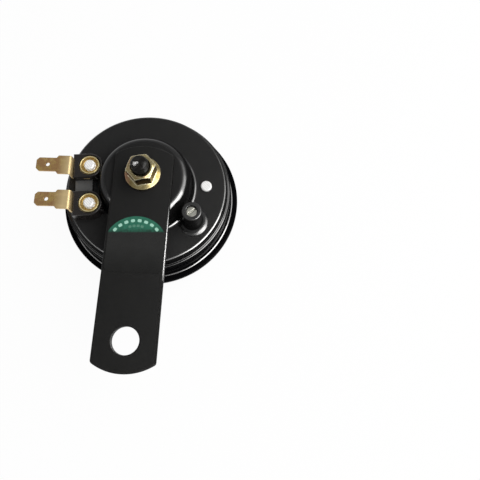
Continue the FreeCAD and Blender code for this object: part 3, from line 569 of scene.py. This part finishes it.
def build_turned(name, replaced, path, rounds, wall, side):
    """A sheet turned about the disc's axis, with the exact normals of its flats and rounds."""
    stations = profile_stations(*sheet_profile(path, rounds, wall, side))
    turns = [2 * math.pi * i / turn_steps for i in range(turn_steps)]
    spokes = [(math.cos(turn), math.sin(turn)) for turn in turns]
    rows = []
    verts = []
    for k, (point, normal) in enumerate(stations):
        if k and (point - stations[k - 1][0]).length < same_point:
            rows.append(rows[-1])
            continue
        rows.append(len(verts))
        for across, along in spokes:
            verts.append((disc_middle.x + point.x * mm * across, disc_middle.y + point.x * mm * along,
                          floor_z + point.y * mm))
    faces = []
    normals = []
    for k, (point, normal) in enumerate(stations):
        ahead = (k + 1) % len(stations)
        if rows[k] == rows[ahead]:
            continue
        next_normal = stations[ahead][1]
        for i in range(turn_steps):
            j = (i + 1) % turn_steps
            faces.append((rows[k] + i, rows[ahead] + i, rows[ahead] + j, rows[k] + j))
            for facing, spoke in ((normal, i), (next_normal, i), (next_normal, j), (normal, j)):
                across, along = spokes[spoke]
                normals.append((facing.x * across, facing.x * along, facing.y))
    mesh = bpy.data.meshes.new(name)
    mesh.from_pydata(verts, [], faces)
    obj = add_piece(name, mesh, finishes[replaced])
    mesh.normals_split_custom_set(normals)
    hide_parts(replaced)
    return obj


thread_pitch = 1.25 * mm
thread_depth = 0.6 * mm
flank_slope = 2.6
crest_flat = 0.15
stud_radius = 3.6 * mm
stud_tip_chamfer = 0.5 * mm
core_radius = 7.1 * mm
pole_head_radius = 9.5 * mm
pole_head_height = 3.0 * mm
pole_head_chamfer = 0.4 * mm
core_spokes = 64
rows_per_pitch = 12
same_place = 1e-7


def thread_radius(z, share, top):
    """The threaded stud's radius at a height, at a share of a full turn round it."""
    turn = (z / thread_pitch - share) % 1.0
    depth = min(1.0, max(0.0, abs(turn - 0.5) * flank_slope - crest_flat))
    return min(stud_radius - thread_depth * depth, stud_radius - stud_tip_chamfer + (top - z))


def build_core():
    """The pole core with a real thread on its stud, which begins above the coil's bobbin."""
    low = node_low("pole_core").z
    top = node_high("pole_core").z
    shelf = node_high("coil_bobbin").z
    head_top = low + pole_head_height
    levels = [(low, 0.0), (low, pole_head_radius - pole_head_chamfer),
              (low + pole_head_chamfer, pole_head_radius), (head_top, pole_head_radius),
              (head_top, core_radius), (shelf, core_radius)]
    rows = [[(radius, z)] * core_spokes for z, radius in levels]
    count = int((top - shelf) / (thread_pitch / rows_per_pitch))
    for k in range(count + 1):
        z = shelf + (top - shelf) * k / count
        rows.append([(thread_radius(z, i / core_spokes, top), z) for i in range(core_spokes)])
    bm = bmesh.new()
    rings = []
    for row in rows:
        ring = []
        for i, (radius, z) in enumerate(row):
            angle = 2 * math.pi * i / core_spokes
            ring.append(bm.verts.new((disc_middle.x + radius * math.cos(angle),
                                      disc_middle.y + radius * math.sin(angle), z)))
        rings.append(ring)
    for lower, upper in zip(rings, rings[1:]):
        for i in range(core_spokes):
            j = (i + 1) % core_spokes
            bm.faces.new((lower[i], lower[j], upper[j], upper[i]))
    crown = bm.verts.new((disc_middle.x, disc_middle.y, top))
    for i in range(core_spokes):
        bm.faces.new((rings[-1][i], rings[-1][(i + 1) % core_spokes], crown))
    bmesh.ops.remove_doubles(bm, verts=bm.verts, dist=same_place)
    obj = add_piece("threaded_core", mesh_from(bm, "threaded_core"), finishes["pole_core"])
    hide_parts("pole_core")
    return obj


mark_thickness = 0.02 * mm
mark_corners = 12
mark_roundness = 0.55


def squared(value):
    """A cosine or sine, bent so that a circle becomes a rounded rectangle."""
    return math.copysign(abs(value) ** mark_roundness, value)


def build_label_marks(name, count, size, inset, spread, ink):
    """An arc of plain rounded marks on the label's green cap, the inset below its edge."""
    half = (label_high.x - label_low.x) / 2
    radius = (half ** 2 + label_cap_height ** 2) / (2 * label_cap_height)
    centre_y = label_high.y - radius
    reach = radius - inset
    width, height = size
    bm = bmesh.new()
    for k in range(count):
        angle = math.radians(90 + spread - 2 * spread * k / (count - 1)) + label_tilt
        middle = Vector((reach * math.cos(angle), centre_y + reach * math.sin(angle), label_high.z))
        along = Vector((math.sin(angle), -math.cos(angle), 0))
        outward = Vector((math.cos(angle), math.sin(angle), 0))
        lower = []
        upper = []
        for c in range(mark_corners):
            turn = 2 * math.pi * (c + 0.5) / mark_corners
            flat = (middle + along * (squared(math.cos(turn)) * width / 2)
                    + outward * (squared(math.sin(turn)) * height / 2))
            lower.append(bm.verts.new(flat))
            upper.append(bm.verts.new(flat + Vector((0, 0, mark_thickness))))
        bm.faces.new(upper)
        for c in range(mark_corners):
            n = (c + 1) % mark_corners
            bm.faces.new((lower[c], lower[n], upper[n], upper[c]))
    bmesh.ops.recalc_face_normals(bm, faces=bm.faces)
    add_piece(name, mesh_from(bm, name), ink, smooth=False)


turned_housing = build_turned("turned_housing", "housing",
                              housing_path, housing_rounds, housing_wall, -1)
turned_front = build_turned("turned_front", "diaphragm",
                            front_path, front_rounds, front_wall, 1)
threaded_core = build_core()
build_label_marks("label_marks", count=8, size=(1.7 * mm, 1.3 * mm), inset=1.9 * mm, spread=49,
                  ink=mark_ink("pale_mark_ink", (0.2, 0.45, 0.34), (0.42, 0.7, 0.58)))
build_label_marks("label_small_marks", count=4, size=(1.3 * mm, 1.1 * mm), inset=4.2 * mm, spread=16,
                  ink=mark_ink("dim_mark_ink", (0.05, 0.16, 0.11), (0.11, 0.26, 0.19)))


# Studio

floor_size = 3.0
floor_color = (0.82, 0.82, 0.82, 1)
floor_whiteness = 0.95
light_color = (1.0, 0.99, 0.975)
room_color = (0.99, 0.995, 1.0, 1)
wall_level = 0.5
ceiling_level = 0.32
camera_lens = 33.06
camera_place = (34.13 * mm, -6.12 * mm, 178.54 * mm)
camera_angles = (15.326, -3.549, 2.395)


def seen_rays(tree, share):
    """The share for camera, glossy and transmission rays, and 0 for the rest."""
    path = tree.nodes.new("ShaderNodeLightPath")
    seen = path.outputs["Is Camera Ray"]
    for ray in ("Is Glossy Ray", "Is Transmission Ray"):
        either = tree.nodes.new("ShaderNodeMath")
        either.operation = "MAXIMUM"
        tree.links.new(seen, either.inputs[0])
        tree.links.new(path.outputs[ray], either.inputs[1])
        seen = either.outputs[0]
    scaled = tree.nodes.new("ShaderNodeMath")
    scaled.operation = "MULTIPLY"
    scaled.inputs[1].default_value = share
    tree.links.new(seen, scaled.inputs[0])
    return scaled.outputs[0]


def floor_material():
    """White to the camera and to reflections, with the object's shadow kept."""
    material = bpy.data.materials.new("studio_floor")
    material.use_nodes = True
    tree = material.node_tree
    tree.nodes.clear()
    output = tree.nodes.new("ShaderNodeOutputMaterial")
    diffuse = tree.nodes.new("ShaderNodeBsdfDiffuse")
    diffuse.inputs["Color"].default_value = floor_color
    glow = tree.nodes.new("ShaderNodeEmission")
    glow.inputs["Color"].default_value = (1, 1, 1, 1)
    mix = tree.nodes.new("ShaderNodeMixShader")
    tree.links.new(seen_rays(tree, floor_whiteness), mix.inputs["Fac"])
    tree.links.new(diffuse.outputs["BSDF"], mix.inputs[1])
    tree.links.new(glow.outputs["Emission"], mix.inputs[2])
    tree.links.new(mix.outputs["Shader"], output.inputs["Surface"])
    return material


def build_floor():
    bm = bmesh.new()
    bmesh.ops.create_grid(bm, x_segments=1, y_segments=1, size=floor_size / 2)
    floor = bpy.data.objects.new("floor", mesh_from(bm, "floor"))
    bpy.context.scene.collection.objects.link(floor)
    floor.location = (disc_middle.x, disc_middle.y, floor_z - 0.02 * mm)
    dress(floor, floor_material())


def build_world():
    """Pale walls low down and a grey ceiling, the same for every ray."""
    world = bpy.data.worlds.new("studio")
    bpy.context.scene.world = world
    world.use_nodes = True
    tree = world.node_tree
    tree.nodes.clear()
    output = tree.nodes.new("ShaderNodeOutputWorld")
    room = tree.nodes.new("ShaderNodeBackground")
    room.inputs["Color"].default_value = room_color
    place = tree.nodes.new("ShaderNodeTexCoord")
    split = tree.nodes.new("ShaderNodeSeparateXYZ")
    level = tree.nodes.new("ShaderNodeMapRange")
    level.inputs["From Min"].default_value = 0.05
    level.inputs["From Max"].default_value = 0.45
    level.inputs["To Min"].default_value = wall_level
    level.inputs["To Max"].default_value = ceiling_level
    tree.links.new(place.outputs["Generated"], split.inputs["Vector"])
    tree.links.new(split.outputs["Z"], level.inputs["Value"])
    tree.links.new(level.outputs["Result"], room.inputs["Strength"])
    tree.links.new(room.outputs["Background"], output.inputs["Surface"])


def softbox(name, azimuth, elevation, distance, width, height, level, shines_on=None):
    """A rectangular lamp that faces the disc. Azimuth 0 is +X and 90 is +Y; level 1 looks white in a mirror.

    With shines_on it only makes highlights on those objects and leaves the plain colours as they are.
    """
    data = bpy.data.lights.new(name, "AREA")
    data.shape = "RECTANGLE"
    data.size = width
    data.size_y = height
    data.energy = level * math.pi * width * height
    data.color = light_color
    lamp = bpy.data.objects.new(name, data)
    bpy.context.scene.collection.objects.link(lamp)
    around, above = math.radians(azimuth), math.radians(elevation)
    way = Vector((math.cos(around) * math.cos(above), math.sin(around) * math.cos(above), math.sin(above)))
    lamp.location = disc_middle + way * distance
    lamp.rotation_euler = way.to_track_quat("Z", "Y").to_euler()
    if shines_on:
        lamp.visible_diffuse = False
        lit = bpy.data.collections.new(name + "_objects")
        for obj in shines_on:
            lit.objects.link(obj)
        lamp.light_linking.receiver_collection = lit


def build_lamps():
    """The main lamp, and six that only draw the bright lines on the rings, the strip's edge and the stud."""
    strip, sleeve, screw = (nodes[name] for name in ("mounting_bracket", "adjuster_sleeve", "tuning_screw"))
    softbox("key_softbox", azimuth=-5, elevation=52, distance=0.9, width=1.1, height=0.75, level=3.9)
    softbox("right_strip_lamp", azimuth=-22, elevation=42, distance=0.6, width=0.46, height=0.46, level=13,
            shines_on=[turned_housing, turned_front, strip, sleeve, screw])
    softbox("right_wide_lamp", azimuth=10, elevation=42, distance=0.6, width=1.0, height=0.34, level=1.6,
            shines_on=[turned_housing])
    softbox("edge_strip_lamp", azimuth=34, elevation=42, distance=0.6, width=0.4, height=0.3, level=36,
            shines_on=[strip])
    softbox("front_strip_lamp", azimuth=-80, elevation=42, distance=0.65, width=0.5, height=0.2, level=3.2,
            shines_on=[turned_housing, turned_front, strip])
    softbox("left_front_lamp", azimuth=-145, elevation=42, distance=0.65, width=0.5, height=0.2, level=3.2,
            shines_on=[turned_housing, turned_front])
    softbox("left_strip_lamp", azimuth=150, elevation=55, distance=0.7, width=0.3, height=0.2, level=30,
            shines_on=[threaded_core])


def build_camera():
    """The photograph's place and angle, in the horn's own sizes."""
    data = bpy.data.cameras.new("photo_camera")
    data.lens = camera_lens
    data.sensor_width = 36.0
    data.clip_start = 0.01
    camera = bpy.data.objects.new("photo_camera", data)
    bpy.context.scene.collection.objects.link(camera)
    camera.location = camera_place
    camera.rotation_euler = [math.radians(angle) for angle in camera_angles]
    bpy.context.scene.camera = camera


build_floor()
build_world()
build_lamps()
build_camera()
bpy.context.scene.view_settings.view_transform = "Standard"
